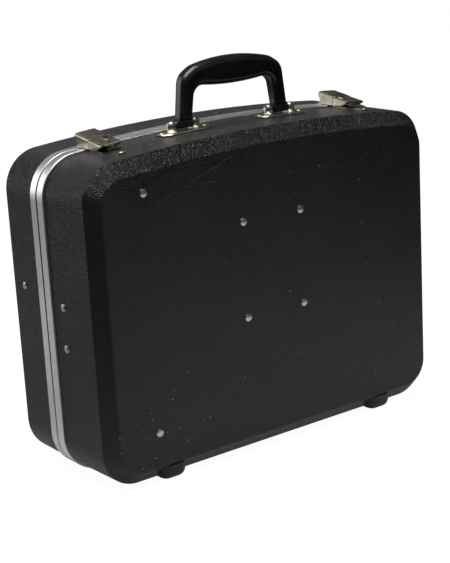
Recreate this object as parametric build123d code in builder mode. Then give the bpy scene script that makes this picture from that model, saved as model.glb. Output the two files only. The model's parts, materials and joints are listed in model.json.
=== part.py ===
from build123d import *

import math
import os

# Hard carrying case for a field kit: two moulded half shells edged with aluminium valances,
# hinged along the bottom, with two key latches and a folding handle.
# Millimetres. X runs across the case, -Y is the front face, +Z is up, and the feet stand on Z = 0.
# A depth is measured from the parting plane: positive into the front half, negative into the lid.

# Outline over the valances
case_width = 456.0
case_height = 346.0
crown_radius = 2000.0
top_corner = 43.5
bottom_corner = 45.0
foot_drop = 1.4

# Half shells
wall = 2.6
base_crease = 78.3
base_depth = 93.5
lid_crease = 65.0
lid_depth = 79.8
base_side_draft = 3.8
base_end_draft = 0.3
lid_draft = 0.1
bevel_inset = 15.4
crease_round = 1.0
face_round = 3.5

# Valances: an outer strip, a web across the shell's edge and an inner lip
strip_width = 12.2
strip_thickness = 2.0
strip_bevel = 0.5
lip_width = 10.0
lip_thickness = 1.4
channel_gap = 0.05
parting_gap = 0.3
parting_bevel = 1.2
base_web = 2.4
lid_web = 6.0
tongue_inset = 2.8
tongue_thickness = 1.4
tongue_reach = 3.5
tongue_clearance = 0.3
tongue_start = 30.0

# Feet, moulded in one with the shells
foot_margin = 84.0
foot_length = 30.0
foot_width = 29.0
foot_corner = 10.0
foot_draft = 10.0
foot_height = 17.0
foot_round = 9.0

# Hinge along the bottom
hinge_length = 240.0
knuckle_count = 12
knuckle_gap = 0.4
knuckle_radius = 1.9
hinge_rise = 0.9
hinge_pin_radius = 0.9
hinge_bore_clearance = 0.06
leaf_thickness = 0.9
leaf_width = 11.2
leaf_gap = 0.1
hinge_relief = 0.4
hinge_rivet_count = 4
hinge_rivet_radius = 1.5
hinge_rivet_head = 2.6

# Rivets through the shells
rivet_head = 4.6
rivet_head_height = 1.5
rivet_shank = 2.4
rivet_tail = 3.9
rivet_tail_height = 1.0
rivet_clearance = 0.05
side_rivet_head = 4.4

# Handle
handle_spacing = 128.0
handle_depth = 28.0
handle_pivot_rise = 8.6
grip_half_depth = 9.0
grip_round = 6.4
grip_apex = 63.3
grip_shoulder_x = 51.0
grip_shoulder = 57.0
grip_corner_x = 65.6
grip_corner = 47.5
grip_corner_round = 17.0
grip_shoulder_round = 28.0
leg_outer_x = 70.6
leg_inner_x = 55.2
leg_bottom = 4.6
palm_corner_x = 50.4
palm_corner = 36.9
palm_corner_round = 12.0
palm_edge_x = 38.0
palm_edge = 36.2
palm_middle = 33.9
leg_relief = 3.0
loop_radius = 5.5
loop_length = 18.2
loop_neck_radius = 3.2
loop_neck_height = 20.0
loop_clearance = 0.1
handle_pin_radius = 2.0
handle_pin_clearance = 0.05

# Handle pedestals
pedestal_length = 66.0
pedestal_width = 26.0
pedestal_thickness = 1.6
pedestal_lift = 0.25
ear_spacing = 29.4
ear_base = 8.8
ear_waist = 6.0
ear_neck = 5.0
ear_top = 12.6
ear_flat = 9.6
pedestal_rivet_offset = 27.5
small_rivet_head = 3.2
small_rivet_head_height = 1.0
small_rivet_shank = 1.6
small_rivet_tail = 2.6
small_rivet_tail_height = 0.8
backing_thickness = 1.5
backing_length = 64.0
backing_width = 20.0

# Latches, in a frame tangent to the valance: heights from its outer face
latch_margin = 67.0
latch_width = 26.0
latch_wall = 1.5
latch_roof = 2.0
latch_crown = 0.6
latch_shoulder = 2.8
latch_trim = 0.2
latch_fit = 0.3
latch_pin_y = -17.1
latch_pin_rise = 8.8
latch_pin_radius = 1.3
latch_pin_clearance = 0.05
knuckle_outer = 2.2
lever_lip_y = -44.0
lever_lip_rise = 7.0
lip_bead = 1.3
skirt_rear_y = -20.1
skirt_front_y = -33.0
skirt_foot = 0.4
skirt_tip_y = -39.6
skirt_tip_rise = 4.4
lip_corner = 4.0
cap_front_y = -14.5
cap_wall_front_y = -19.4
cap_wall_rise = 2.4
cap_wall_nose = 0.9
cap_rear_y = 5.0
cap_front_rise = 12.2
cap_rear_rise = 15.0
cap_foot = 0.15
cap_wall_foot = 0.8
cap_notch_y = 2.4
cap_notch_rise = 5.0
cap_bead_rise = 9.6
cap_floor_thickness = 1.2
cap_tab_y = 11.4
cap_tab_half_width = 7.4
cap_rivet_y = 7.6
cap_rivet_x = 3.7
plate_thickness = 1.2
plate_rear_y = -14.0
plate_front_y = -63.0
plate_neck_y = -40.0
plate_half_width = 11.0
tab_half_width = 4.6
tab_rivet_y = -58.0
plate_rivet_x = 7.5
plate_rivet_y = -19.0
staple_y = -33.2
staple_thickness = 1.2
staple_half_width = 6.0
staple_top = 4.8
hook_post = 2.6
window_low = 0.2
window_high = 3.0
lock_y = -26.0
lock_offset = 5.0
lock_radius = 3.6
lock_fit = 0.05
lock_barrel_radius = 4.8
lock_flange_radius = 5.4
lock_flange = 0.5
lock_length = 6.4
cam_length = 11.1
cam_half_width = 2.2
cam_thickness = 1.2
key_slot_width = 1.1
key_slot_length = 3.6
key_hole_radius = 1.0

# Rivets seen on the front face and the sides, from the case's centre line and the floor
plate_centre_x = -4.0
plate_drop = 144.8
plate_spacing_x = 76.0
plate_spacing_z = 102.4
divider_margin = 66.0
divider_rivet_low = 56.0
divider_rivet_drop = 43.4
bracket_depth = 30.3
bracket_z = 167.4
bracket_spacing = 43.3
plug_x = 27.5
plug_depth = 37.5
plug_radius = 3.6

# Inside
liner_thickness = 2.0
liner_gap = 0.15
liner_margin = 2.0
mount_plate_margin = 12.0
mount_plate_thickness = 2.0
divider_thickness = 2.0
divider_flange = 19.0
divider_height = 66.0
divider_overrun = 12.0
divider_slot_length = 60.0
divider_slot_width = 12.0
pocket_width = 340.0
pocket_height = 190.0
pocket_bottom = 50.0
pocket_bulge = 9.0
pocket_corner = 18.0

# Lid stays
stay_margin = 22.0
stay_thickness = 1.6
stay_gap = 0.4
stay_half_width = 6.0
stay_eye = 2.5
stay_fit = 0.05
stay_head = 4.2
stay_head_height = 1.0
stay_fold_z = 31.4
stay_fold_depth = 0.0
lid_stud_z = 199.1
lid_stud_depth = 43.4
stud_radius = 3.4
bracket_thickness = 1.6
bracket_half_width = 9.0
bracket_overrun = 9.0

os.makedirs("parts", exist_ok=True)

# Places worked out from the sizes
front_reach = base_depth + rivet_head_height
parting_y = (front_reach - lid_depth) / 2
foot_spacing = case_width - 2 * foot_margin
latch_spacing = case_width - 2 * latch_margin
divider_x = divider_margin - case_width / 2
stay_plane = case_width / 2 - stay_margin
bottom_z = foot_drop
top_z = foot_drop + case_height
plate_centre_z = top_z - plate_drop
divider_rivet_high = top_z - divider_rivet_drop
shell_inset = strip_thickness + channel_gap
lip_inset = shell_inset + wall + channel_gap
hinge_z = bottom_z + hinge_rise
base_edge = parting_gap / 2 + base_web + channel_gap
lid_edge = parting_gap / 2 + lid_web + channel_gap


def upright(depth):
    """The vertical plane at a depth, facing the front."""
    return Plane.XZ.offset(depth - parting_y)


def crown_height(x, inset):
    """Height of the crowned top at x, on an outline that lies inset inside the valance."""
    radius = crown_radius - inset
    return top_z - crown_radius + math.sqrt(radius**2 - x**2)


def outline_face(side_inset, end_inset):
    """The case's outline seen from the front, drawn in by an inset at the sides and at the ends."""
    half = case_width / 2 - side_inset
    top = top_z - end_inset
    bottom = bottom_z + end_inset
    radius = crown_radius - end_inset
    upper = top_corner - side_inset
    lower = bottom_corner - side_inset
    corner_x = half - upper
    crown_z = top - radius
    corner_z = crown_z + math.sqrt((radius - upper) ** 2 - corner_x**2)
    lean = math.atan2(corner_z - crown_z, corner_x)
    crown_end = (radius * math.cos(lean), crown_z + radius * math.sin(lean))
    middle = (corner_x + upper * math.cos(lean / 2), corner_z + upper * math.sin(lean / 2))
    diagonal = lower * (1 - math.sqrt(0.5))
    with BuildSketch() as face:
        with BuildLine():
            ThreePointArc((-crown_end[0], crown_end[1]), (0, top), crown_end)
            ThreePointArc(crown_end, middle, (half, corner_z))
            Line((half, corner_z), (half, bottom + lower))
            ThreePointArc((half, bottom + lower), (half - diagonal, bottom + diagonal), (half - lower, bottom))
            Line((half - lower, bottom), (lower - half, bottom))
            ThreePointArc((lower - half, bottom), (diagonal - half, bottom + diagonal), (-half, bottom + lower))
            Line((-half, bottom + lower), (-half, corner_z))
            ThreePointArc((-half, corner_z), (-middle[0], middle[1]), (-crown_end[0], crown_end[1]))
        make_face()
    return face.sketch


def outline_ring(depth_from, depth_to, outer_inset, inner_inset):
    """A flat ring between two insets of the outline, from one depth to a larger one."""
    with BuildPart() as ring:
        with BuildSketch(upright(depth_from)):
            add(outline_face(outer_inset, outer_inset))
            add(outline_face(inner_inset, inner_inset), mode=Mode.SUBTRACT)
        extrude(amount=depth_to - depth_from)
    return ring.part


def profile_plane(seat):
    """The plane through a seat's axis, with the seat's normal as its upward direction."""
    return Plane(origin=seat.origin, x_dir=seat.x_dir, z_dir=-seat.y_dir)


def turned_set(seats, profile):
    """Solids of revolution about each seat's normal; the profile starts and ends on the axis."""
    with BuildPart() as turned:
        for seat in seats:
            with BuildSketch(profile_plane(seat)):
                with BuildLine():
                    Polyline(*profile, close=True)
                make_face()
            revolve(axis=Axis(seat.origin, seat.z_dir))
    return turned.part


def rivet_set(seats, head, head_height, shank, grip, tail, tail_height):
    """Domed rivets whose heads stand on the seats and whose tails lie behind a grip."""
    with BuildPart() as rivets:
        for seat in seats:
            with BuildSketch(profile_plane(seat)):
                with BuildLine():
                    TangentArc((0, head_height), (head, 0), tangent=(1, 0))
                    Polyline(
                        (head, 0),
                        (shank, 0),
                        (shank, -grip),
                        (tail, -grip),
                        (tail * 0.8, -grip - tail_height),
                        (0, -grip - tail_height),
                        (0, head_height),
                    )
                make_face()
            revolve(axis=Axis(seat.origin, seat.z_dir))
    return rivets.part


def crowned_bar(seat, rear, front, half_width):
    """A long bar below a sloping line in a latch's side view, crowned across, with round shoulders."""
    run = front[0] - rear[0]
    fall = front[1] - rear[1]
    length = math.hypot(run, fall)
    across = half_width - latch_shoulder
    drop = latch_crown * (across / half_width) ** 2
    bulge = latch_shoulder * (1 - math.sqrt(0.5))
    section_plane = Plane(
        origin=seat.origin + seat.y_dir * rear[0] + seat.z_dir * rear[1],
        x_dir=seat.x_dir,
        z_dir=seat.y_dir * (run / length) + seat.z_dir * (fall / length),
    )
    with BuildPart() as bar:
        with BuildSketch(section_plane):
            with BuildLine():
                ThreePointArc((-across, -drop), (0, 0), (across, -drop))
                ThreePointArc(
                    (across, -drop), (half_width - bulge, -drop - bulge), (half_width, -drop - latch_shoulder)
                )
                Line((half_width, -drop - latch_shoulder), (half_width, -latch_width))
                Line((half_width, -latch_width), (-half_width, -latch_width))
                Line((-half_width, -latch_width), (-half_width, -drop - latch_shoulder))
                ThreePointArc(
                    (-half_width, -drop - latch_shoulder), (bulge - half_width, -drop - bulge), (-across, -drop)
                )
            make_face()
        extrude(amount=3 * latch_width, both=True)
    return bar.part


def save(part, name):
    part.label = name
    export_step(part, f"parts/{name}.step")


# Seats of the rivets on the shells
front_y = parting_y - base_depth
front_seats = [
    Plane(origin=(x, front_y, z), x_dir=(1, 0, 0), z_dir=(0, -1, 0))
    for x, z in (
        (divider_x, divider_rivet_low),
        (divider_x, divider_rivet_high),
        (plate_centre_x - plate_spacing_x / 2, plate_centre_z - plate_spacing_z / 2),
        (plate_centre_x - plate_spacing_x / 2, plate_centre_z + plate_spacing_z / 2),
        (plate_centre_x + plate_spacing_x / 2, plate_centre_z - plate_spacing_z / 2),
        (plate_centre_x + plate_spacing_x / 2, plate_centre_z + plate_spacing_z / 2),
    )
]
side_lean = base_side_draft * (bracket_depth - strip_width) / (base_crease - strip_width)
base_side_x = case_width / 2 - shell_inset - side_lean
lid_side_x = case_width / 2 - shell_inset - lid_draft * (lid_stud_depth - strip_width) / (lid_crease - strip_width)
base_lean = base_side_draft / (base_crease - strip_width)
bracket_seats = [
    Plane(origin=(hand * base_side_x, parting_y - bracket_depth, bracket_z), x_dir=(0, 0, 1), z_dir=(hand, -base_lean, 0))
    for hand in (-1, 1)
]
side_seats = [
    Plane(origin=seat.origin + seat.x_dir * z, x_dir=seat.x_dir, z_dir=seat.z_dir)
    for seat in bracket_seats
    for z in (-bracket_spacing / 2, bracket_spacing / 2)
]
stud_seat_x = lid_side_x + channel_gap
stud_seats = [
    Plane(origin=(hand * stud_seat_x, parting_y + lid_stud_depth, lid_stud_z), x_dir=(0, 1, 0), z_dir=(hand, 0, 0))
    for hand in (-1, 1)
]
plug_seat = Plane(
    origin=(plug_x, parting_y + plug_depth, crown_height(plug_x, shell_inset + lid_draft / 2)), z_dir=(0, 0, 1)
)

# Frames of the latches, tangent to the crowned valance, and of the pedestals, tangent to the shell
latch_x = latch_spacing / 2
handle_x = handle_spacing / 2
latch_seats = {}
for hand, sign in (("left", -1), ("right", 1)):
    lean = math.asin(latch_x / crown_radius)
    latch_seats[hand] = Plane(
        origin=(sign * latch_x, parting_y, crown_height(latch_x, 0)),
        x_dir=(math.cos(lean), 0, -sign * math.sin(lean)),
        z_dir=(sign * math.sin(lean), 0, math.cos(lean)),
    )
pedestal_seats = {}
for hand, sign in (("left", -1), ("right", 1)):
    lean = math.asin(handle_x / crown_radius)
    pedestal_seats[hand] = Plane(
        origin=(sign * handle_x, parting_y - handle_depth, crown_height(handle_x, shell_inset) + pedestal_lift),
        x_dir=(math.cos(lean), 0, -sign * math.sin(lean)),
        z_dir=(sign * math.sin(lean), 0, math.cos(lean)),
    )
shell_drop = shell_inset
plate_foot = channel_gap - shell_drop
lever_slope = math.atan2(latch_pin_rise + knuckle_outer - lever_lip_rise, latch_pin_y - lever_lip_y)


def shifted(seat, x, y, rise):
    """A seat's plane moved along its own axes."""
    return Plane(
        origin=seat.origin + seat.x_dir * x + seat.y_dir * y + seat.z_dir * rise,
        x_dir=seat.x_dir,
        z_dir=seat.z_dir,
    )


plate_rivet_spots = ((0, tab_rivet_y), (-plate_rivet_x, plate_rivet_y), (plate_rivet_x, plate_rivet_y))
plate_rivet_seats = [
    shifted(seat, x, y, plate_foot + plate_thickness) for seat in latch_seats.values() for x, y in plate_rivet_spots
]
cap_rivet_seats = [
    shifted(seat, x, cap_rivet_y, cap_foot + cap_floor_thickness)
    for seat in latch_seats.values()
    for x in (-cap_rivet_x, cap_rivet_x)
]
pedestal_rivet_seats = [
    shifted(seat, x, 0, pedestal_thickness)
    for seat in pedestal_seats.values()
    for x in (-pedestal_rivet_offset, pedestal_rivet_offset)
]
hinge_rivet_pitch = hinge_length / hinge_rivet_count
hinge_rivet_y = 2 + leaf_width / 2
hinge_rivet_x = [(n - (hinge_rivet_count - 1) / 2) * hinge_rivet_pitch for n in range(hinge_rivet_count)]
leaf_face = bottom_z - leaf_gap - leaf_thickness
hinge_rivet_seats = {
    side: [
        Plane(origin=(x, parting_y + side * hinge_rivet_y, leaf_face), x_dir=(1, 0, 0), z_dir=(0, 0, -1))
        for x in hinge_rivet_x
    ]
    for side in (-1, 1)
}
hinge_hole = hinge_rivet_radius + rivet_clearance
small_hole = small_rivet_shank + rivet_clearance
rivet_hole = rivet_shank + rivet_clearance
hole_length = 40.0


def half_shell(direction, edge, crease, depth, side_draft, end_draft, foot_depth):
    """A bevelled half shell with its feet; direction is 1 for the front half and -1 for the lid."""
    outer = [
        (edge, shell_inset, shell_inset),
        (strip_width, shell_inset, shell_inset),
        (crease, shell_inset + side_draft, shell_inset + end_draft),
        (depth, shell_inset + bevel_inset, shell_inset + bevel_inset),
    ]
    turn = wall * math.tan(math.radians(22.5))
    inner = [
        (edge, shell_inset + wall, shell_inset + wall),
        (strip_width, shell_inset + wall, shell_inset + wall),
        (crease - turn, shell_inset + side_draft + wall, shell_inset + end_draft + wall),
        (depth - wall, shell_inset + bevel_inset + turn, shell_inset + bevel_inset + turn),
    ]
    with BuildPart() as cavity:
        for distance, side_inset, end_inset in inner:
            with BuildSketch(upright(direction * distance)):
                add(outline_face(side_inset, end_inset))
        loft(ruled=True)
    with BuildPart() as feet:
        with BuildSketch(Plane.XY):
            with Locations(
                (-foot_spacing / 2, parting_y - direction * foot_depth),
                (foot_spacing / 2, parting_y - direction * foot_depth),
            ):
                RectangleRounded(foot_length, foot_width, foot_corner)
        extrude(amount=foot_height, taper=-foot_draft)
        fillet(feet.edges().filter_by_position(Axis.Z, -0.01, 0.01), foot_round)
    with BuildPart() as shell:
        for distance, side_inset, end_inset in outer:
            with BuildSketch(upright(direction * distance)):
                add(outline_face(side_inset, end_inset))
        loft(ruled=True)
        face_y = parting_y - direction * depth
        crease_y = parting_y - direction * crease
        fillet(shell.edges().filter_by_position(Axis.Y, face_y - 0.01, face_y + 0.01), face_round)
        fillet(shell.edges().filter_by_position(Axis.Y, crease_y - 0.01, crease_y + 0.01), crease_round)
        add(feet.part)
        add(cavity.part, mode=Mode.SUBTRACT)
    return shell.part


# Front half shell
base_foot_depth = base_depth - foot_height * math.tan(math.radians(foot_draft)) - foot_width / 2
with BuildPart() as base_shell:
    add(half_shell(1, base_edge, base_crease, base_depth, base_side_draft, base_end_draft, base_foot_depth))
    with Locations(*front_seats, *side_seats):
        Cylinder(rivet_hole, hole_length, mode=Mode.SUBTRACT)
    with Locations(*plate_rivet_seats, *pedestal_rivet_seats):
        Cylinder(small_hole, hole_length, mode=Mode.SUBTRACT)
    with Locations(*hinge_rivet_seats[-1]):
        Cylinder(hinge_hole, hole_length, mode=Mode.SUBTRACT)
save(base_shell.part, "base_shell")

# Rear half shell
lid_foot_depth = lid_depth - foot_height * math.tan(math.radians(foot_draft)) - foot_width / 2
with BuildPart() as lid_shell:
    add(half_shell(-1, lid_edge, lid_crease, lid_depth, lid_draft, lid_draft, lid_foot_depth))
    with Locations(*stud_seats):
        Cylinder(rivet_hole, hole_length, mode=Mode.SUBTRACT)
    with Locations(plug_seat):
        Cylinder(plug_radius * 0.7 + rivet_clearance, hole_length, mode=Mode.SUBTRACT)
    with Locations(*cap_rivet_seats):
        Cylinder(small_hole, hole_length, mode=Mode.SUBTRACT)
    with Locations(*hinge_rivet_seats[1]):
        Cylinder(hinge_hole, hole_length, mode=Mode.SUBTRACT)
save(lid_shell.part, "lid_shell")

# Valances: the base carries the tongue, the lid the groove, and both are cut back round the hinge
hinge_pocket = Plane(origin=(0, parting_y, bottom_z), z_dir=(0, 0, 1))
relief_width = 2 * (knuckle_radius + hinge_relief)
relief_height = hinge_rise + knuckle_radius + hinge_relief
web_from = parting_gap / 2
tongue_end = tongue_inset + tongue_thickness
lip_end = lip_inset + lip_thickness
with BuildPart() as base_valance:
    add(outline_ring(web_from, strip_width, 0, strip_thickness))
    add(outline_ring(web_from, web_from + base_web, 0, lip_end))
    add(outline_ring(web_from, lip_width, lip_inset, lip_end))
    parting_faces = base_valance.faces().filter_by_position(
        Axis.Y, parting_y - web_from - 0.01, parting_y - web_from + 0.01
    )
    chamfer(parting_faces[0].outer_wire().edges(), parting_bevel)
    front_faces = base_valance.faces().filter_by_position(
        Axis.Y, parting_y - strip_width - 0.01, parting_y - strip_width + 0.01
    )
    chamfer(front_faces[0].outer_wire().edges(), strip_bevel)
    with BuildSketch(upright(-tongue_reach)):
        add(outline_face(tongue_inset, tongue_inset))
        add(outline_face(tongue_end, tongue_end), mode=Mode.SUBTRACT)
        with Locations((0, bottom_z)):
            Rectangle(case_width, tongue_start * 2, mode=Mode.SUBTRACT)
    extrude(amount=tongue_reach + web_from)
    with Locations(hinge_pocket):
        Box(hinge_length + 2, relief_width, relief_height * 2, mode=Mode.SUBTRACT)
    with Locations(*hinge_rivet_seats[-1]):
        Cylinder(hinge_hole, hole_length, mode=Mode.SUBTRACT)
save(base_valance.part, "base_valance")

groove_outer = tongue_inset - tongue_clearance
groove_inner = tongue_end + tongue_clearance
with BuildPart() as lid_valance:
    add(outline_ring(-strip_width, -web_from, 0, strip_thickness))
    add(outline_ring(-web_from - lid_web, -web_from, 0, lip_end))
    add(outline_ring(-lip_width, -web_from, lip_inset, lip_end))
    parting_faces = lid_valance.faces().filter_by_position(
        Axis.Y, parting_y + web_from - 0.01, parting_y + web_from + 0.01
    )
    chamfer(parting_faces[0].outer_wire().edges(), parting_bevel)
    rear_faces = lid_valance.faces().filter_by_position(
        Axis.Y, parting_y + strip_width - 0.01, parting_y + strip_width + 0.01
    )
    chamfer(rear_faces[0].outer_wire().edges(), strip_bevel)
    with BuildSketch(upright(-tongue_reach - 2 * tongue_clearance)):
        add(outline_face(groove_outer, groove_outer))
        add(outline_face(groove_inner, groove_inner), mode=Mode.SUBTRACT)
        with Locations((0, bottom_z)):
            Rectangle(case_width, (tongue_start - 2) * 2, mode=Mode.SUBTRACT)
    extrude(amount=tongue_reach + 2 * tongue_clearance, mode=Mode.SUBTRACT)
    with Locations(hinge_pocket):
        Box(hinge_length + 2, relief_width, relief_height * 2, mode=Mode.SUBTRACT)
    with Locations(*cap_rivet_seats):
        Cylinder(small_hole, hole_length, mode=Mode.SUBTRACT)
    with Locations(*hinge_rivet_seats[1]):
        Cylinder(hinge_hole, hole_length, mode=Mode.SUBTRACT)
save(lid_valance.part, "lid_valance")

# Hinge leaves with alternate knuckles; side is -1 for the base and 1 for the lid
knuckle_pitch = hinge_length / knuckle_count
knuckle_centres = [(n - (knuckle_count - 1) / 2) * knuckle_pitch for n in range(knuckle_count)]
hinge_axis_plane = Plane(origin=(0, parting_y, hinge_z), x_dir=(0, 1, 0), z_dir=(1, 0, 0))
for side, name in ((-1, "hinge_leaf_base"), (1, "hinge_leaf_lid")):
    with BuildPart() as leaf:
        with BuildSketch(Plane(origin=(0, parting_y, leaf_face), z_dir=(0, 0, 1))):
            with Locations((0, side * (2 + leaf_width / 2))):
                RectangleRounded(hinge_length - 1, leaf_width - 1, 1.5)
        extrude(amount=leaf_thickness)
        for n, centre in enumerate(knuckle_centres):
            if n % 2 != (side + 1) // 2:
                continue
            with BuildSketch(hinge_axis_plane.offset(centre - knuckle_pitch / 2 + knuckle_gap / 2)):
                Circle(knuckle_radius)
                with BuildLine():
                    Polyline(
                        (0, -knuckle_radius),
                        (side * 3.2, leaf_face - hinge_z),
                        (side * 3.2, leaf_face - hinge_z + leaf_thickness),
                        (side * knuckle_radius * 0.75, leaf_face - hinge_z + leaf_thickness * 1.2),
                        close=True,
                    )
                make_face()
                Circle(hinge_pin_radius + hinge_bore_clearance, mode=Mode.SUBTRACT)
            extrude(amount=knuckle_pitch - knuckle_gap)
        for seat in hinge_rivet_seats[side]:
            with BuildSketch(seat.offset(0)):
                Circle(hinge_rivet_head + rivet_clearance)
            with BuildSketch(seat.offset(-leaf_thickness)):
                Circle(hinge_hole)
            loft(mode=Mode.SUBTRACT)
    save(leaf.part, name)

with BuildPart() as hinge_pin:
    with BuildSketch(hinge_axis_plane.offset(-hinge_length / 2)):
        Circle(hinge_pin_radius)
    extrude(amount=hinge_length)
save(hinge_pin.part, "hinge_pin")

for side, name in ((-1, "hinge_rivets_base"), (1, "hinge_rivets_lid")):
    tail_from = lip_end + leaf_gap + leaf_thickness
    profile = (
        (0, 0),
        (hinge_rivet_head, 0),
        (hinge_rivet_radius, -leaf_thickness),
        (hinge_rivet_radius, -tail_from),
        (hinge_rivet_head, -tail_from),
        (hinge_rivet_head, -tail_from - small_rivet_tail_height),
        (0, -tail_from - small_rivet_tail_height),
    )
    save(turned_set(hinge_rivet_seats[side], profile), name)

# Domed rivets in the front face and the sides, and the plug in the top of the lid
front_grip = wall + 2 * liner_gap + liner_thickness + liner_gap + mount_plate_thickness
save(
    rivet_set(front_seats, rivet_head, rivet_head_height, rivet_shank, front_grip, rivet_tail, rivet_tail_height),
    "front_rivets",
)
side_grip = wall + 2 * liner_gap + bracket_thickness
save(
    rivet_set(side_seats, side_rivet_head, rivet_head_height, rivet_shank, side_grip, rivet_tail, rivet_tail_height),
    "side_rivets",
)
plug_profile = (
    (0, 0.8),
    (plug_radius * 0.8, 0.8),
    (plug_radius, 0.15),
    (plug_radius * 0.7, 0.15),
    (plug_radius * 0.7, -wall - 0.3),
    (plug_radius * 0.85, -wall - 0.8),
    (plug_radius * 0.5, -wall - 2),
    (0, -wall - 2),
)
save(turned_set([plug_seat], plug_profile), "lid_plug")

# Handle: moulded grip with a steel loop in each leg
pivot_z = crown_height(handle_x, shell_inset) + handle_pivot_rise
handle_plane = Plane(origin=(0, parting_y - handle_depth, pivot_z), x_dir=(1, 0, 0), z_dir=(0, -1, 0))
loop_seats = [
    Plane(origin=(sign * handle_x, parting_y - handle_depth, pivot_z), x_dir=(0, 1, 0), z_dir=(1, 0, 0))
    for sign in (-1, 1)
]
neck_seats = [
    Plane(origin=(sign * handle_x, parting_y - handle_depth, pivot_z), x_dir=(1, 0, 0), z_dir=(0, 0, 1))
    for sign in (-1, 1)
]
with BuildPart() as handle_grip:
    with BuildSketch(handle_plane) as grip_outline:
        with BuildLine():
            Polyline(
                (-grip_shoulder_x, grip_shoulder),
                (-grip_corner_x, grip_corner),
                (-leg_outer_x, leg_bottom),
                (-leg_inner_x, leg_bottom),
                (-palm_corner_x, palm_corner),
                (-palm_edge_x, palm_edge),
            )
            ThreePointArc((-palm_edge_x, palm_edge), (0, palm_middle), (palm_edge_x, palm_edge))
            Polyline(
                (palm_edge_x, palm_edge),
                (palm_corner_x, palm_corner),
                (leg_inner_x, leg_bottom),
                (leg_outer_x, leg_bottom),
                (grip_corner_x, grip_corner),
                (grip_shoulder_x, grip_shoulder),
            )
            ThreePointArc((grip_shoulder_x, grip_shoulder), (0, grip_apex), (-grip_shoulder_x, grip_shoulder))
        make_face()
        for corner_x, radius in (
            (grip_corner_x, grip_corner_round),
            (grip_shoulder_x, grip_shoulder_round),
            (palm_corner_x, palm_corner_round),
        ):
            fillet([v for v in grip_outline.vertices() if abs(abs(v.X) - corner_x) < 0.01], radius)
    extrude(amount=grip_half_depth, both=True)
    side_faces = handle_grip.faces().filter_by(Axis.Y)
    rim = [edge for face in side_faces for edge in face.edges() if edge.center().Z > pivot_z + leg_bottom + 0.5]
    fillet(rim, grip_round)
    for side in (-1, 1):
        with BuildSketch(Plane(origin=(-leg_outer_x, parting_y - handle_depth, pivot_z), x_dir=(0, 1, 0), z_dir=(1, 0, 0))):
            with BuildLine():
                Polyline(
                    (side * (grip_half_depth - leg_relief - 1), leg_bottom - 1),
                    (side * (grip_half_depth + 1), leg_bottom - 1),
                    (side * (grip_half_depth + 1), leg_bottom + leg_relief + 1),
                    close=True,
                )
            make_face()
        extrude(amount=2 * leg_outer_x, mode=Mode.SUBTRACT)
    with Locations(*loop_seats):
        Cylinder(loop_radius + loop_clearance, loop_length * 2, mode=Mode.SUBTRACT)
    with Locations(*neck_seats):
        Cylinder(
            loop_neck_radius + loop_clearance,
            loop_neck_height + 1,
            align=(Align.CENTER, Align.CENTER, Align.MIN),
            mode=Mode.SUBTRACT,
        )
save(handle_grip.part, "handle_grip")

with BuildPart() as handle_loops:
    with Locations(*loop_seats):
        Cylinder(loop_radius, loop_length)
    with Locations(*neck_seats):
        Cylinder(loop_neck_radius, loop_neck_height, align=(Align.CENTER, Align.CENTER, Align.MIN))
    ends = handle_loops.edges().filter_by(GeomType.CIRCLE).filter_by(lambda edge: abs(edge.radius - loop_radius) < 0.01)
    chamfer(ends, 0.6)
    with Locations(*loop_seats):
        Cylinder(handle_pin_radius + handle_pin_clearance, loop_length + 2, mode=Mode.SUBTRACT)
save(handle_loops.part, "handle_loops")

# Pedestals with two bell-shaped ears, their pins, rivets and backing plates
ear_height = ear_top - pedestal_thickness
for hand, seat in pedestal_seats.items():
    sign = -1 if hand == "left" else 1
    with BuildPart() as pedestal:
        with BuildSketch(seat):
            SlotOverall(pedestal_length, pedestal_width)
        extrude(amount=pedestal_thickness)
        rim = pedestal.faces().sort_by(Axis(seat.origin, seat.z_dir))[-1]
        chamfer(rim.outer_wire().edges(), pedestal_thickness * 0.6)
        for x in (-ear_spacing / 2, ear_spacing / 2):
            ear = shifted(seat, x, 0, 0)
            with BuildSketch(profile_plane(ear)):
                with BuildLine():
                    Line((0, 0), (ear_base, 0))
                    Line((ear_base, 0), (ear_base, pedestal_thickness))
                    ThreePointArc(
                        (ear_base, pedestal_thickness),
                        (ear_waist + 0.6, pedestal_thickness + 1.6),
                        (ear_neck, handle_pivot_rise - 2),
                    )
                    Line((ear_neck, handle_pivot_rise - 2), (ear_neck, ear_top - ear_neck * 0.9))
                    TangentArc((0, ear_top), (ear_neck, ear_top - ear_neck * 0.9), tangent=(1, 0))
                    Line((0, ear_top), (0, 0))
                make_face()
            revolve(axis=Axis(ear.origin, ear.z_dir))
        with Locations(seat.offset(pedestal_thickness)):
            Box(
                2 * ear_flat,
                pedestal_width,
                ear_top,
                align=(Align.CENTER, Align.CENTER, Align.MIN),
                mode=Mode.SUBTRACT,
            )
        with Locations(*[s for s in loop_seats if s.origin.X * sign > 0]):
            Cylinder(handle_pin_radius, pedestal_length, mode=Mode.SUBTRACT)
        with Locations(*[shifted(seat, x, 0, 0) for x in (-pedestal_rivet_offset, pedestal_rivet_offset)]):
            Cylinder(small_hole, hole_length, mode=Mode.SUBTRACT)
    save(pedestal.part, f"pedestal_{hand}")

with BuildPart() as handle_pins:
    with Locations(*loop_seats):
        Cylinder(handle_pin_radius, ear_spacing + 2 * ear_neck + 0.8)
save(handle_pins.part, "handle_pins")

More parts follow.
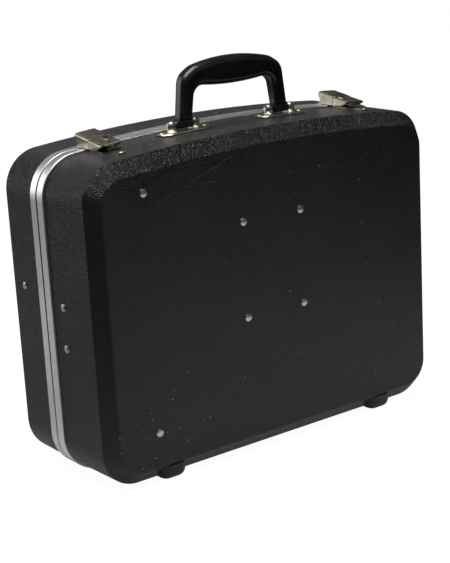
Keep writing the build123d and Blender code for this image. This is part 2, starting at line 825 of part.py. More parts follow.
pedestal_grip = pedestal_thickness + pedestal_lift + wall + 2 * liner_gap + backing_thickness + base_end_draft
save(
    rivet_set(
        pedestal_rivet_seats,
        small_rivet_head,
        small_rivet_head_height,
        small_rivet_shank,
        pedestal_grip,
        small_rivet_tail,
        small_rivet_tail_height,
    ),
    "pedestal_rivets",
)
with BuildPart() as pedestal_backing:
    for seat in pedestal_seats.values():
        with BuildSketch(seat.offset(pedestal_thickness - pedestal_grip)):
            SlotOverall(backing_length, backing_width)
        extrude(amount=backing_thickness)
    with Locations(*pedestal_rivet_seats):
        Cylinder(small_hole, hole_length, mode=Mode.SUBTRACT)
save(pedestal_backing.part, "pedestal_backing")

# Latches: a plate with a hook-shaped strike on the base, a cap on the lid and a lever hinged on the cap
half_latch = latch_width / 2
inner_half = half_latch - latch_wall
for hand, seat in latch_seats.items():
    inward = 1 if hand == "left" else -1
    side_view = Plane(origin=seat.origin, x_dir=seat.y_dir, z_dir=seat.x_dir)

    with BuildPart() as plate:
        with BuildSketch(seat.offset(plate_foot)):
            with BuildLine():
                Line((-plate_half_width, plate_rear_y), (plate_half_width, plate_rear_y))
                Line((plate_half_width, plate_rear_y), (plate_half_width, plate_neck_y))
                Line((plate_half_width, plate_neck_y), (tab_half_width, plate_neck_y - 6))
                Line((tab_half_width, plate_neck_y - 6), (tab_half_width, plate_front_y + tab_half_width))
                ThreePointArc(
                    (tab_half_width, plate_front_y + tab_half_width),
                    (0, plate_front_y),
                    (-tab_half_width, plate_front_y + tab_half_width),
                )
                Line((-tab_half_width, plate_front_y + tab_half_width), (-tab_half_width, plate_neck_y - 6))
                Line((-tab_half_width, plate_neck_y - 6), (-plate_half_width, plate_neck_y))
                Line((-plate_half_width, plate_neck_y), (-plate_half_width, plate_rear_y))
            make_face()
        extrude(amount=plate_thickness)
        with BuildSketch(Plane(origin=seat.origin + seat.y_dir * staple_y, x_dir=seat.x_dir, z_dir=-seat.y_dir)):
            with Locations((inward * lock_offset, (staple_top + plate_foot) / 2)):
                Rectangle(2 * staple_half_width, staple_top - plate_foot)
            with Locations((inward * (lock_offset - hook_post), (window_low + window_high) / 2)):
                Rectangle(2 * staple_half_width, window_high - window_low, mode=Mode.SUBTRACT)
        extrude(amount=staple_thickness)
        with Locations(*[shifted(seat, x, y, 0) for x, y in plate_rivet_spots]):
            Cylinder(small_hole, hole_length, mode=Mode.SUBTRACT)
    save(plate.part, f"latch_plate_{hand}")

    # Cap: a crowned channel on the lid's valance, with a notch under its rear edge and a tab behind
    with BuildPart() as cap:
        with BuildSketch(side_view):
            with BuildLine():
                Polyline(
                    (cap_wall_front_y, cap_wall_foot),
                    (web_from, cap_wall_foot),
                    (web_from, cap_foot),
                    (cap_notch_y, cap_foot),
                )
                Line((cap_notch_y, cap_foot), (cap_notch_y, cap_notch_rise))
                ThreePointArc(
                    (cap_notch_y, cap_notch_rise),
                    (cap_notch_y + 1.2, cap_bead_rise - 1.6),
                    (cap_rear_y, cap_bead_rise),
                )
                Line((cap_rear_y, cap_bead_rise), (cap_rear_y, cap_rear_rise - 1.4))
                ThreePointArc(
                    (cap_rear_y, cap_rear_rise - 1.4),
                    (cap_rear_y - 0.5, cap_rear_rise - 0.4),
                    (cap_rear_y - 1.8, cap_rear_rise + latch_trim),
                )
                Polyline(
                    (cap_rear_y - 1.8, cap_rear_rise + latch_trim),
                    (cap_front_y, cap_front_rise + latch_trim),
                    (cap_front_y, latch_pin_rise + cap_wall_rise),
                    (latch_pin_y, latch_pin_rise + cap_wall_rise),
                    (cap_wall_front_y, latch_pin_rise + cap_wall_nose),
                    (cap_wall_front_y, cap_wall_foot),
                )
            make_face()
        extrude(amount=half_latch, both=True)
        add(
            crowned_bar(seat, (cap_rear_y - 1.8, cap_rear_rise), (cap_front_y, cap_front_rise), half_latch),
            mode=Mode.INTERSECT,
        )
        with BuildSketch(side_view):
            with BuildLine():
                Polyline(
                    (cap_wall_front_y - 2, cap_foot + cap_floor_thickness),
                    (cap_notch_y - latch_wall, cap_foot + cap_floor_thickness),
                    (cap_notch_y - latch_wall, cap_notch_rise + 1),
                    (cap_rear_y - latch_wall, cap_bead_rise + latch_wall),
                    (cap_rear_y - latch_wall, cap_rear_rise - latch_roof - 0.6),
                    (cap_front_y, cap_front_rise - latch_roof),
                    (cap_wall_front_y - 2, cap_front_rise - latch_roof),
                    close=True,
                )
            make_face()
        extrude(amount=inner_half, both=True, mode=Mode.SUBTRACT)
        with BuildSketch(side_view):
            with Locations(((cap_front_y + cap_wall_front_y) / 2 - 1, cap_front_rise)):
                Rectangle(cap_front_y - cap_wall_front_y + 2, 2 * (latch_roof + 1))
        extrude(amount=inner_half, both=True, mode=Mode.SUBTRACT)
        with BuildSketch(side_view):
            with Locations(((web_from + cap_wall_front_y) / 2 - 1, cap_foot)):
                Rectangle(web_from - cap_wall_front_y + 2, 2 * (cap_floor_thickness + 0.3))
        extrude(amount=inner_half, both=True, mode=Mode.SUBTRACT)
        with BuildSketch(seat.offset(cap_foot)):
            with Locations((0, (web_from + cap_tab_y) / 2)):
                Rectangle(2 * cap_tab_half_width, cap_tab_y - web_from)
        extrude(amount=cap_floor_thickness)
        with BuildSketch(side_view.offset(-latch_width)):
            with Locations((latch_pin_y, latch_pin_rise)):
                Circle(latch_pin_radius)
        extrude(amount=2 * latch_width, mode=Mode.SUBTRACT)
        with Locations(*[shifted(seat, x, cap_rivet_y, 0) for x in (-cap_rivet_x, cap_rivet_x)]):
            Cylinder(small_hole, 6, mode=Mode.SUBTRACT)
    save(cap.part, f"latch_cap_{hand}")

    # Lever: a pressed cover with skirts, a rolled lip and a rolled knuckle on the pin
    knuckle_top = (latch_pin_y, latch_pin_rise + knuckle_outer)
    slope = math.tan(lever_slope)
    with BuildPart() as lever:
        with BuildSketch(side_view):
            with BuildLine():
                Polyline(
                    (latch_pin_y - 3, knuckle_top[1] - 3 * slope + latch_trim),
                    (lever_lip_y, lever_lip_rise + latch_trim),
                    (lever_lip_y, lever_lip_rise - 2),
                    (skirt_tip_y, skirt_tip_rise - 1),
                    (skirt_front_y, skirt_foot),
                    (skirt_rear_y, skirt_foot),
                    close=True,
                )
            make_face()
        extrude(amount=half_latch, both=True)
        add(crowned_bar(seat, knuckle_top, (lever_lip_y, lever_lip_rise), half_latch), mode=Mode.INTERSECT)
        with BuildSketch(seat) as plan:
            with Locations((0, (lever_lip_y + latch_pin_y) / 2)):
                Rectangle(latch_width, latch_pin_y - lever_lip_y)
            fillet(plan.vertices().group_by(Axis.Y)[0], lip_corner)
        extrude(amount=2 * latch_pin_rise, mode=Mode.INTERSECT)
        with BuildSketch(side_view):
            with BuildLine():
                Polyline(
                    (latch_pin_y + 2, knuckle_top[1] + 2 * slope - latch_roof),
                    (latch_pin_y - 3, knuckle_top[1] - 3 * slope - latch_roof),
                    (lever_lip_y + 1.6, lever_lip_rise + 1.6 * slope - latch_roof),
                    (lever_lip_y + 1.6, skirt_foot - 3),
                    (latch_pin_y + 2, skirt_foot - 3),
                    close=True,
                )
            make_face()
        extrude(amount=inner_half, both=True, mode=Mode.SUBTRACT)
        with BuildSketch(side_view):
            with Locations((latch_pin_y, latch_pin_rise)):
                Circle(knuckle_outer)
            with BuildLine():
                Polyline(
                    (latch_pin_y, knuckle_top[1]),
                    (latch_pin_y - 4, knuckle_top[1] - 4 * slope),
                    (latch_pin_y - 4, knuckle_top[1] - 4 * slope - latch_roof),
                    (latch_pin_y, latch_pin_rise),
                    close=True,
                )
            make_face()
        extrude(amount=inner_half - latch_fit, both=True)
        with BuildSketch(side_view):
            with Locations((lever_lip_y + 0.6, lever_lip_rise - 1)):
                Circle(lip_bead)
        extrude(amount=half_latch - lip_corner, both=True)
        with BuildSketch(side_view.offset(-latch_width)):
            with Locations((latch_pin_y, latch_pin_rise)):
                Circle(latch_pin_radius + latch_pin_clearance)
        extrude(amount=2 * latch_width, mode=Mode.SUBTRACT)
        lock_rise = knuckle_top[1] + (lock_y - latch_pin_y) * slope
        lever_face = Plane(
            origin=seat.origin + seat.x_dir * inward * lock_offset + seat.y_dir * lock_y + seat.z_dir * lock_rise,
            x_dir=seat.x_dir,
            z_dir=seat.z_dir * math.cos(lever_slope) - seat.y_dir * math.sin(lever_slope),
        )
        with Locations(lever_face):
            Cylinder(lock_barrel_radius + lock_fit, 6, mode=Mode.SUBTRACT)
    save(lever.part, f"latch_lever_{hand}")

    # Lock: a barrel pressed into the lever and a plug with a keyhole above and a cam below
    barrel_profile = (
        (lock_radius + lock_fit, lock_flange),
        (lock_flange_radius - 0.3, lock_flange),
        (lock_flange_radius, lock_fit),
        (lock_barrel_radius, lock_fit),
        (lock_barrel_radius, -lock_length),
        (lock_radius + lock_fit, -lock_length),
    )
    save(turned_set([lever_face], barrel_profile), f"lock_barrel_{hand}")
    with BuildPart() as plug:
        with BuildSketch(lever_face.offset(lock_flange)):
            Circle(lock_radius)
        extrude(amount=-lock_length - lock_flange - 0.2)
        with BuildSketch(lever_face.offset(-lock_length - 0.2)):
            with Locations((-inward * cam_length / 2, 0)):
                SlotOverall(cam_length, 2 * cam_half_width)
            Circle(lock_radius)
        extrude(amount=-cam_thickness)
        with BuildSketch(lever_face.offset(lock_flange)):
            Rectangle(key_slot_length, key_slot_width)
            with Locations((-key_slot_length / 2, 0)):
                Circle(key_hole_radius)
        extrude(amount=-3, mode=Mode.SUBTRACT)
    save(plug.part, f"lock_plug_{hand}")

with BuildPart() as latch_pins:
    for seat in latch_seats.values():
        with BuildSketch(Plane(origin=seat.origin, x_dir=seat.y_dir, z_dir=seat.x_dir).offset(-half_latch - 0.4)):
            with Locations((latch_pin_y, latch_pin_rise)):
                Circle(latch_pin_radius)
        extrude(amount=latch_width + 0.8)
save(latch_pins.part, "latch_pins")

latch_grip = plate_thickness + wall + 3 * liner_gap + base_end_draft
save(
    rivet_set(
        plate_rivet_seats,
        small_rivet_head,
        small_rivet_head_height,
        small_rivet_shank,
        latch_grip,
        small_rivet_tail,
        small_rivet_tail_height,
    ),
    "latch_rivets",
)
cap_grip = cap_foot + cap_floor_thickness + lip_end + liner_gap
save(
    rivet_set(
        cap_rivet_seats,
        small_rivet_head,
        small_rivet_head_height,
        small_rivet_shank,
        cap_grip,
        small_rivet_tail,
        small_rivet_tail_height,
    ),
    "cap_rivets",
)

# Linings: thin sheets on the two inner faces
inner_face_inset = shell_inset + bevel_inset + liner_margin
liner_from = base_depth - wall - liner_gap
with BuildPart() as base_liner:
    with BuildSketch(upright(liner_from - liner_thickness)):
        add(outline_face(inner_face_inset, inner_face_inset))
    extrude(amount=liner_thickness)
    with Locations(*front_seats):
        Cylinder(rivet_hole, hole_length, mode=Mode.SUBTRACT)
save(base_liner.part, "base_liner")

lid_liner_from = lid_depth - wall - liner_gap
with BuildPart() as lid_liner:
    with BuildSketch(upright(-lid_liner_from)):
        add(outline_face(inner_face_inset, inner_face_inset))
    extrude(amount=liner_thickness)
save(lid_liner.part, "lid_liner")

# Mounting plate on the four middle rivets
plate_from = liner_from - liner_thickness - liner_gap
with BuildPart() as mount_plate:
    with BuildSketch(upright(plate_from - mount_plate_thickness)):
        with Locations((plate_centre_x, plate_centre_z)):
            RectangleRounded(
                plate_spacing_x + 2 * mount_plate_margin, plate_spacing_z + 2 * mount_plate_margin, mount_plate_margin / 2
            )
    extrude(amount=mount_plate_thickness)
    with Locations(*front_seats):
        Cylinder(rivet_hole, hole_length, mode=Mode.SUBTRACT)
save(mount_plate.part, "mount_plate")

# Divider: an angle whose flange lies on the lining, with two strap slots in its wall
divider_low = divider_rivet_low - divider_overrun
divider_high = divider_rivet_high + divider_overrun
divider_face_y = parting_y - plate_from
wall_x = divider_x + divider_flange / 2
with BuildPart() as divider:
    with BuildSketch(Plane.XY.offset(divider_low)):
        with BuildLine():
            Polyline(
                (wall_x - divider_flange, divider_face_y),
                (wall_x, divider_face_y),
                (wall_x, divider_face_y + divider_height),
                (wall_x - divider_thickness, divider_face_y + divider_height),
                (wall_x - divider_thickness, divider_face_y + mount_plate_thickness),
                (wall_x - divider_flange, divider_face_y + mount_plate_thickness),
                close=True,
            )
        make_face()
    extrude(amount=divider_high - divider_low)
    corners = divider.edges().filter_by(Axis.X).group_by(Axis.Y)[-1]
    fillet(corners, divider_flange / 2)
    with BuildSketch(Plane(origin=(wall_x, divider_face_y + divider_height * 0.6, 0), x_dir=(0, 0, 1), z_dir=(1, 0, 0))):
        with Locations((divider_low + (divider_high - divider_low) / 4, 0), (divider_high - (divider_high - divider_low) / 4, 0)):
            SlotOverall(divider_slot_length, divider_slot_width)
    extrude(amount=divider_thickness * 2, both=True, mode=Mode.SUBTRACT)
    with Locations(*front_seats):
        Cylinder(rivet_hole, hole_length, mode=Mode.SUBTRACT)
save(divider.part, "divider")

# Document pocket on the lid's lining, fuller at the bottom than at the mouth
pocket_from = lid_liner_from - liner_thickness - liner_gap
with BuildPart() as lid_pocket:
    with BuildSketch(upright(-pocket_from)):
        with Locations((0, pocket_bottom + pocket_height / 2)):
            RectangleRounded(pocket_width, pocket_height, pocket_corner)
    with BuildSketch(upright(-pocket_from + pocket_bulge)):
        with Locations((0, pocket_bottom + pocket_height / 2)):
            RectangleRounded(pocket_width - pocket_corner, pocket_height - pocket_corner, pocket_corner / 2)
    loft()
save(lid_pocket.part, "lid_pocket")

# Lid stays: a bracket with a stud on each side of the base, two arms and a stud on the lid
stay_base = (bracket_depth, bracket_z)
stay_fold = (stay_fold_depth, stay_fold_z)
stay_lid = (-lid_stud_depth, lid_stud_z)
upper_plane = stay_plane + stay_thickness + stay_gap
bracket_plane = base_side_x - wall - 2 * liner_gap - bracket_thickness
stud_plane = upper_plane + stay_thickness + stay_gap


def side_plane(hand, x):
    """The plane across the case at a distance x to the left or right, seen from the right."""
    return Plane(origin=(hand * x, parting_y, 0), x_dir=(0, 1, 0), z_dir=(1, 0, 0))


def stay_arm(hand, start, end, plane_x):
    """A flat arm with round ends and an eye at each end, from start to end in the side view."""
    length = math.dist(start, end)
    angle = math.degrees(math.atan2(end[1] - start[1], start[0] - end[0]))
    middle = (-(start[0] + end[0]) / 2, (start[1] + end[1]) / 2)
    near = plane_x if hand > 0 else plane_x + stay_thickness
    with BuildPart() as arm:
        with BuildSketch(side_plane(hand, near)):
            with Locations(Location((middle[0], middle[1], 0), (0, 0, angle))):
                SlotCenterToCenter(length, 2 * stay_half_width)
            with Locations((-start[0], start[1]), (-end[0], end[1])):
                Circle(stay_eye + stay_fit, mode=Mode.SUBTRACT)
        extrude(amount=stay_thickness)
    return arm.part


bracket_back = -wall - 2 * liner_gap
with BuildPart() as stay_brackets:
    for hand, seat in zip((-1, 1), bracket_seats):
        with BuildSketch(seat.offset(bracket_back)):
            RectangleRounded(bracket_spacing + 2 * bracket_overrun, 2 * bracket_half_width, bracket_half_width / 2)
        extrude(amount=-bracket_thickness)
        outward = Plane(origin=(hand * upper_plane, parting_y, 0), x_dir=(0, hand, 0), z_dir=(hand, 0, 0))
        for distance, radius, length in (
            (0, stud_radius, bracket_plane - upper_plane + bracket_thickness / 2),
            (stay_plane - stay_gap - upper_plane, stay_eye, upper_plane - stay_plane + stay_gap),
            (stay_plane - stay_gap - upper_plane, stay_head, -stay_head_height),
        ):
            with BuildSketch(outward.offset(distance)):
                with Locations((-hand * bracket_depth, bracket_z)):
                    Circle(radius)
            extrude(amount=length)
    with Locations(*side_seats):
        Cylinder(rivet_hole, 24, mode=Mode.SUBTRACT)
save(stay_brackets.part, "stay_brackets")

for name, hand in (("left", -1), ("right", 1)):
    save(stay_arm(hand, stay_base, stay_fold, stay_plane), f"stay_lower_{name}")
    save(stay_arm(hand, stay_fold, stay_lid, upper_plane), f"stay_upper_{name}")
    inner = stay_plane - stay_gap
    outer = upper_plane + stay_thickness + stay_gap
    with BuildPart() as fold_rivet:
        outward = Plane(origin=(hand * inner, parting_y, 0), x_dir=(0, hand, 0), z_dir=(hand, 0, 0))
        for plane, radius, amount in (
            (outward, stay_head, -stay_head_height),
            (outward, stay_eye, outer - inner),
            (outward.offset(outer - inner), stay_head, stay_head_height),
        ):
            with BuildSketch(plane):
                with Locations((-hand * stay_fold_depth, stay_fold_z)):
                    Circle(radius)
            extrude(amount=amount)
    save(fold_rivet.part, f"stay_rivet_{name}")

# Studs of the lid stays: a domed head outside, a shoulder inside that ends at the arm
stud_reach = stud_seat_x - stud_plane
stud_profile = (
    (0, rivet_head_height),
    (side_rivet_head * 0.55, rivet_head_height * 0.8),
    (side_rivet_head * 0.9, rivet_head_height * 0.35),
    (side_rivet_head, 0),
    (rivet_shank, 0),
    (rivet_shank, -wall - liner_gap),
    (stud_radius, -wall - liner_gap),
    (stud_radius, -stud_reach),
    (0, -stud_reach),
)
save(turned_set(stud_seats, stud_profile), "stay_studs")

# Caps in the arms' eyes at the lid's end
for name, hand in (("left", -1), ("right", 1)):
    with BuildPart() as eye_cap:
        outward = Plane(origin=(hand * upper_plane, parting_y, 0), x_dir=(0, hand, 0), z_dir=(hand, 0, 0))
        for plane, radius, amount in (
            (outward.offset(-0.05), stay_head, -stay_head_height),
            (outward.offset(-0.05), stay_eye, stay_thickness),
        ):
            with BuildSketch(plane):
                with Locations((hand * lid_stud_depth, lid_stud_z)):
                    Circle(radius)
            extrude(amount=amount)
    save(eye_cap.part, f"stay_cap_{name}")
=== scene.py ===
import json
import math

import bmesh
import bpy
from mathutils import Matrix, Vector, noise


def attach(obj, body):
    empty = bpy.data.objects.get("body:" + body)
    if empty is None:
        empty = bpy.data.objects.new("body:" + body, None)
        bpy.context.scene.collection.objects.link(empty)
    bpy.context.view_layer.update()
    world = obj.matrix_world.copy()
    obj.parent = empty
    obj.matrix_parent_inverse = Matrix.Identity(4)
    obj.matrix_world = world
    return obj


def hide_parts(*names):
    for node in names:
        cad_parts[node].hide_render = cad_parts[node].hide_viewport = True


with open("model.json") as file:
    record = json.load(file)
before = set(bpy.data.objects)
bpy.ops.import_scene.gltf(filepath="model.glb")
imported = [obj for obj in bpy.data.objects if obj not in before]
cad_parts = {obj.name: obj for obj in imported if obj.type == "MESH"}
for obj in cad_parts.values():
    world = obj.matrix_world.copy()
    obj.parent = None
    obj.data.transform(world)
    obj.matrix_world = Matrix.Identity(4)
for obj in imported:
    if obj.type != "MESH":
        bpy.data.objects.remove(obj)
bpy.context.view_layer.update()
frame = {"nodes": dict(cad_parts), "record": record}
nodes = frame["nodes"]
partingY = 0.0076  # the plane between the two halves
print("frame loaded:", len(nodes), "nodes")

camera = {"azimuth": 36.348, "elevation": 15.213, "roll": -3.241, "distance": 1.58025, "lens": 91.21,
          "target": (-0.00106, partingY, 0.16447)}


def placeCamera():
    az, el = math.radians(camera["azimuth"]), math.radians(camera["elevation"])
    back = Vector((-math.sin(az) * math.cos(el), -math.cos(az) * math.cos(el), math.sin(el)))
    right = (-back).cross(Vector((0, 0, 1))).normalized()
    up = right.cross(-back)
    c, s = math.cos(math.radians(camera["roll"])), math.sin(math.radians(camera["roll"]))
    turned = Matrix((c * right + s * up, c * up - s * right, back)).transposed().to_4x4()
    data = bpy.data.cameras.new("photoCamera")
    data.lens = camera["lens"]
    data.sensor_width = 36
    data.clip_end = 20
    obj = bpy.data.objects.new("photoCamera", data)
    obj.matrix_world = Matrix.Translation(Vector(camera["target"]) + back * camera["distance"]) @ turned
    bpy.context.scene.collection.objects.link(obj)
    bpy.context.scene.camera = obj


def addNode(tree, kind, inputs=None, **settings):
    node = tree.nodes.new(kind)
    for key, value in settings.items():
        setattr(node, key, value)
    for key, value in (inputs or {}).items():
        if isinstance(value, bpy.types.NodeSocket):
            tree.links.new(value, node.inputs[key])
        else:
            node.inputs[key].default_value = value
    return node


def calc(t, operation, a, b=0.0, clamp=False):
    return addNode(t, "ShaderNodeMath", {0: a, 1: b}, operation=operation, use_clamp=clamp).outputs[0]


def times(t, a, b):
    return calc(t, "MULTIPLY", a, b)


def vectorCalc(t, operation, a, b):
    output = "Value" if operation in ("DOT_PRODUCT", "DISTANCE") else "Vector"
    return addNode(t, "ShaderNodeVectorMath", {0: a, 1: b}, operation=operation).outputs[output]


def ramp(t, value, low, high, toLow=0.0, toHigh=1.0):
    return addNode(t, "ShaderNodeMapRange", {"Value": value, 1: low, 2: high, 3: toLow, 4: toHigh}).outputs[0]


studio = {"diffuseSky": 0.42, "glossySky": 0.07, "floorHalf": 9, "floorSeen": 0.96, "floorLit": 0.09,
          "fadeFrom": 0.25, "fadeTo": 0.8, "floorGlow": 0.42,
          "brightSpots": (((0.12, -0.25, 0.0), 0.47), ((-0.62, 0.5, 0.0), 0.22)), "aim": (0, 0, 0.18)}
lamps = (
    {"name": "topBox", "at": (-0.4, -0.1, 2.0), "size": 1.5, "watts": 47},
    {"name": "leftBox", "at": (-1.5, 1.9, 0.9), "size": 1.5, "watts": 12},
    {"name": "frontBox", "at": (0.9, -2.3, 1.5), "size": 1.8, "watts": 2},
)
white = (1, 1, 1, 1)


def seenDirectly(t, path):
    return calc(t, "MAXIMUM", path["Is Camera Ray"], path["Is Transmission Ray"])


def makeSky():
    world = bpy.data.worlds.new("studioWorld")
    bpy.context.scene.world = world
    world.use_nodes = True
    t = world.node_tree
    t.nodes.clear()
    path = addNode(t, "ShaderNodeLightPath").outputs
    soft = addNode(t, "ShaderNodeMix", {"Factor": path["Is Glossy Ray"], 2: studio["diffuseSky"],
                                        3: studio["glossySky"]}).outputs[0]
    level = addNode(t, "ShaderNodeMix", {"Factor": seenDirectly(t, path), 2: soft, 3: 1.0}).outputs[0]
    sky = addNode(t, "ShaderNodeBackground", {"Color": white, "Strength": level})
    addNode(t, "ShaderNodeOutputWorld", {"Surface": sky.outputs[0]})


def makeFloor():
    half = studio["floorHalf"]
    mesh = bpy.data.meshes.new("studioFloor")
    mesh.from_pydata([(-half, -half, 0), (half, -half, 0), (half, half, 0), (-half, half, 0)], [], [(0, 1, 2, 3)])
    floor = bpy.data.objects.new("studioFloor", mesh)
    bpy.context.scene.collection.objects.link(floor)
    mat = bpy.data.materials.new("floorPaper")
    mat.use_nodes = True
    t = mat.node_tree
    t.nodes.clear()
    path = addNode(t, "ShaderNodeLightPath").outputs
    place = addNode(t, "ShaderNodeTexCoord").outputs["Object"]
    pools = []
    for spot, level in studio["brightSpots"]:
        away = vectorCalc(t, "DISTANCE", place, spot)
        pools.append(ramp(t, away, studio["fadeFrom"], studio["fadeTo"], level, 0.0))
    fade = calc(t, "MAXIMUM", *pools)
    paper = addNode(t, "ShaderNodeBsdfDiffuse", {"Color": fade})
    bounce = addNode(t, "ShaderNodeEmission", {"Color": white, "Strength": times(t, fade, studio["floorGlow"])})
    unseen = addNode(t, "ShaderNodeAddShader", {0: paper.outputs[0], 1: bounce.outputs[0]})
    lit = addNode(t, "ShaderNodeBsdfDiffuse", {"Color": (studio["floorLit"],) * 3 + (1,)})
    glow = addNode(t, "ShaderNodeEmission", {"Color": white, "Strength": studio["floorSeen"]})
    seen = addNode(t, "ShaderNodeAddShader", {0: glow.outputs[0], 1: lit.outputs[0]})
    mix = addNode(t, "ShaderNodeMixShader", {0: seenDirectly(t, path), 1: unseen.outputs[0], 2: seen.outputs[0]})
    addNode(t, "ShaderNodeOutputMaterial", {"Surface": mix.outputs[0]})
    mesh.materials.append(mat)


def hangLamps():
    for lamp in lamps:
        light = bpy.data.lights.new(lamp["name"], "AREA")
        light.size = lamp["size"]
        light.energy = lamp["watts"]
        obj = bpy.data.objects.new(lamp["name"], light)
        aim = Vector(studio["aim"]) - Vector(lamp["at"])
        obj.matrix_world = Matrix.Translation(lamp["at"]) @ aim.to_track_quat("-Z", "Y").to_matrix().to_4x4()
        bpy.context.scene.collection.objects.link(obj)


placeCamera()
makeSky()
makeFloor()
hangLamps()
bpy.context.scene.view_settings.view_transform = "Standard"
print("camera and studio ready")


def startFinish(name, **plain):
    mat = bpy.data.materials.new(name)
    mat.use_nodes = True
    t = mat.node_tree
    shader = t.nodes["Principled BSDF"]
    for key, value in plain.items():
        shader.inputs[key.replace("_", " ")].default_value = value
    coords = addNode(t, "ShaderNodeTexCoord").outputs
    return mat, t, shader, coords["Object"], coords["Normal"]


def scaled(t, vector, scale, rotation=(0, 0, 0)):
    return addNode(t, "ShaderNodeMapping", {"Vector": vector, "Scale": scale, "Rotation": rotation}).outputs[0]


def grainNoise(t, vector, scale, detail=2.0, rough=0.5):
    return addNode(t, "ShaderNodeTexNoise", {"Vector": vector, "Scale": scale, "Detail": detail,
                                             "Roughness": rough}).outputs[0]


def mixColour(t, factor, low, high):
    node = t.nodes.new("ShaderNodeMix")
    node.data_type = "RGBA"
    for index, value in ((0, factor), (6, low), (7, high)):
        if isinstance(value, bpy.types.NodeSocket):
            t.links.new(value, node.inputs[index])
        else:
            node.inputs[index].default_value = tuple(value) + (1,)
    return node.outputs[2]


def bump(t, height, distance, strength=1.0, under=None):
    inputs = {"Height": height, "Distance": distance, "Strength": strength}
    if under is not None:
        inputs["Normal"] = under
    return addNode(t, "ShaderNodeBump", inputs).outputs[0]


shell = {"black": (0.0032, 0.0032, 0.0036), "worn": (0.0075, 0.0075, 0.008), "upFacingTone": (0.045, 0.045, 0.046),
         "speck": (0.42, 0.42, 0.4), "scratch": (0.05, 0.049, 0.047), "stripShadow": (0.001, 0.001, 0.001),
         "pebble": 0.002, "pebbleDeep": 0.00045, "creaseDeep": 0.001, "creases": 300,
         "speckCell": 0.008, "speckCorner": (-0.168, partingY - 0.0935, 0.052), "speckShare": 0.012,
         "stripEdge": 0.0122, "smooth": 0.27, "rough": 0.36}
longScratches = (  # ends across and up the front face, and half width
    ((-0.150, 0.2885), (-0.030, 0.3325), 0.00035),
    ((-0.128, 0.3020), (-0.075, 0.3015), 0.00030),
    ((0.066, 0.1450), (0.118, 0.1720), 0.00025),
    ((0.020, 0.0990), (0.047, 0.0860), 0.00030),
)


def scratchLine(t, at, start, end, half):
    run = Vector((end[0] - start[0], 0, end[1] - start[1]))
    along = run.normalized()
    across = Vector((-along.z, 0, along.x))
    loose = vectorCalc(t, "SUBTRACT", at, (start[0], 0, start[1]))
    far = vectorCalc(t, "DOT_PRODUCT", loose, along)
    off = vectorCalc(t, "DOT_PRODUCT", loose, across)
    wander = times(t, calc(t, "SUBTRACT", grainNoise(t, at, 22, 2), 0.5), 0.005)
    near = ramp(t, calc(t, "ABSOLUTE", calc(t, "ADD", off, wander)), half * 2, half * 0.5)
    inside = times(t, calc(t, "GREATER_THAN", far, 0.0), calc(t, "LESS_THAN", far, run.length))
    return times(t, near, inside)


# leather grain: pebbles and creases, which catch most light where the bevels stretched them
def leatherBump(t, at, side, up):
    wander = vectorCalc(t, "MULTIPLY", grainNoise(t, at, 160, 2), (0.0016, 0.0016, 0.0016))
    loose = vectorCalc(t, "ADD", at, wander)
    cells = addNode(t, "ShaderNodeTexVoronoi", {"Vector": loose, "Scale": 1 / shell["pebble"]},
                    feature="DISTANCE_TO_EDGE")
    pebble = ramp(t, cells.outputs[0], 0.0, 0.22)
    creases = grainNoise(t, scaled(t, at, (1, 1, 0.45)), shell["creases"], 4, 0.6)
    topBevel = ramp(t, calc(t, "ABSOLUTE", calc(t, "SUBTRACT", up, 0.62)), 0.12, 0.3, 1.0, 0.0)
    leftBevel = ramp(t, calc(t, "ABSOLUTE", calc(t, "ADD", side, 0.7)), 0.1, 0.35, 0.5, 0.0)
    raised = calc(t, "MAXIMUM", ramp(t, up, 0.1, 0.65, 0.45, 0.75), calc(t, "MAXIMUM", topBevel, leftBevel))
    n = bump(t, grainNoise(t, at, 9, 2), 0.002, 0.07)
    n = bump(t, creases, shell["creaseDeep"], raised, n)
    return bump(t, pebble, shell["pebbleDeep"], raised, n), topBevel


# white specks of old paint on the front, most of them round its lower left corner
def paintSpecks(t, at, across, height):
    low = ramp(t, height, 0.26, 0.03, 0.0, 0.022)
    corner = ramp(t, vectorCalc(t, "DISTANCE", at, shell["speckCorner"]), 0.02, 0.06, 0.3, 0.0)
    plane = addNode(t, "ShaderNodeCombineXYZ", {0: across, 1: height}).outputs[0]
    dots = addNode(t, "ShaderNodeTexVoronoi", {"Vector": plane, "Scale": 1 / shell["speckCell"]},
                   feature="F1", voronoi_dimensions="2D").outputs
    random = addNode(t, "ShaderNodeSeparateColor", {0: dots["Color"]}).outputs
    tiny = calc(t, "LESS_THAN", dots["Distance"], ramp(t, random[0], 0.0, 1.0, 0.02, 0.066))
    chance = calc(t, "ADD", calc(t, "ADD", random[1], low), corner)
    return times(t, tiny, calc(t, "GREATER_THAN", chance, 1 - shell["speckShare"]))


def rubbedMarks(t, at, front):
    streaks = scaled(t, at, (3, 3, 420), (0, math.radians(-34), 0))
    hair = calc(t, "GREATER_THAN", grainNoise(t, streaks, 2.0, 2), 0.70)
    rubbed = times(t, times(t, hair, ramp(t, grainNoise(t, at, 17, 2), 0.5, 0.62)), 0.4)
    for start, end, half in longScratches:
        line = times(t, scratchLine(t, at, start, end, half), front)
        broken = ramp(t, grainNoise(t, at, 90, 3), 0.35, 0.6, 0.1, 0.75)
        rubbed = calc(t, "MAXIMUM", rubbed, times(t, line, broken))
    return rubbed


